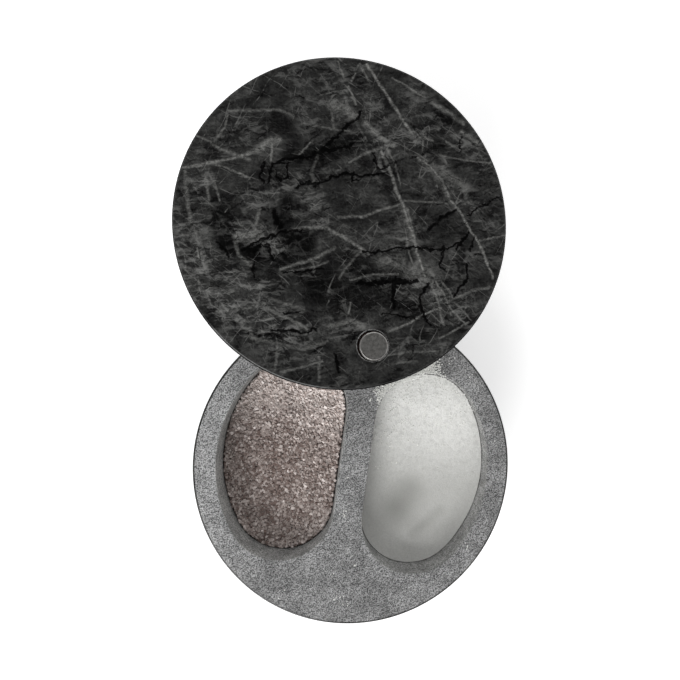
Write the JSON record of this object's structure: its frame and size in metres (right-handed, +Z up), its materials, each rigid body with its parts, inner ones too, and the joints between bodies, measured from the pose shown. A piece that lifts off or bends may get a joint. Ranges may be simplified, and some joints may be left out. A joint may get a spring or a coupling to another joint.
{
  "type": "salt cellar",
  "caption": "Round black marble salt cellar with pockets of coarse and fine salt, and a marble lid that swings aside on an upright steel pin.",
  "frame": {"origin": "middle of the pad's underside, on the surface that the cellar stands on", "axes": "+Z up, +Y from the middle of the body towards the pin; the coarse salt's pocket is on the -X side"},
  "size_m": [0.1365, 0.2079, 0.0608],
  "materials": {
    "honed_stone": "honed black marble, grey, with polished edges",
    "polished_stone": "polished black marble with grey veins",
    "pin_steel": "turned stainless steel, fine satin",
    "brown_fibre": "pressed reddish brown fibre, machined",
    "anchor_brass": "plain turned",
    "pad_cork": "pressed cork sheet",
    "pink_salt": "loose coarse crystals, pinkish grey",
    "white_salt": "loose fine grains, white"
  },
  "bodies": {
    "base": {"body": "honed_stone", "pivot_pin": "pin_steel", "thrust_washer": "brown_fibre", "anchor_sleeve": "anchor_brass", "base_pad": "pad_cork", "coarse_salt": "pink_salt", "fine_salt": "white_salt"},
    "lid": {"lid": "polished_stone", "lid_bush": "brown_fibre"}
  },
  "joints": [
    {"name": "lid_swing", "type": "hinge", "parent": "base", "child": "lid", "pos_m": [0, 0.0455, 0.0466], "axis": [0, 0, 1], "continuous": true}
  ]
}
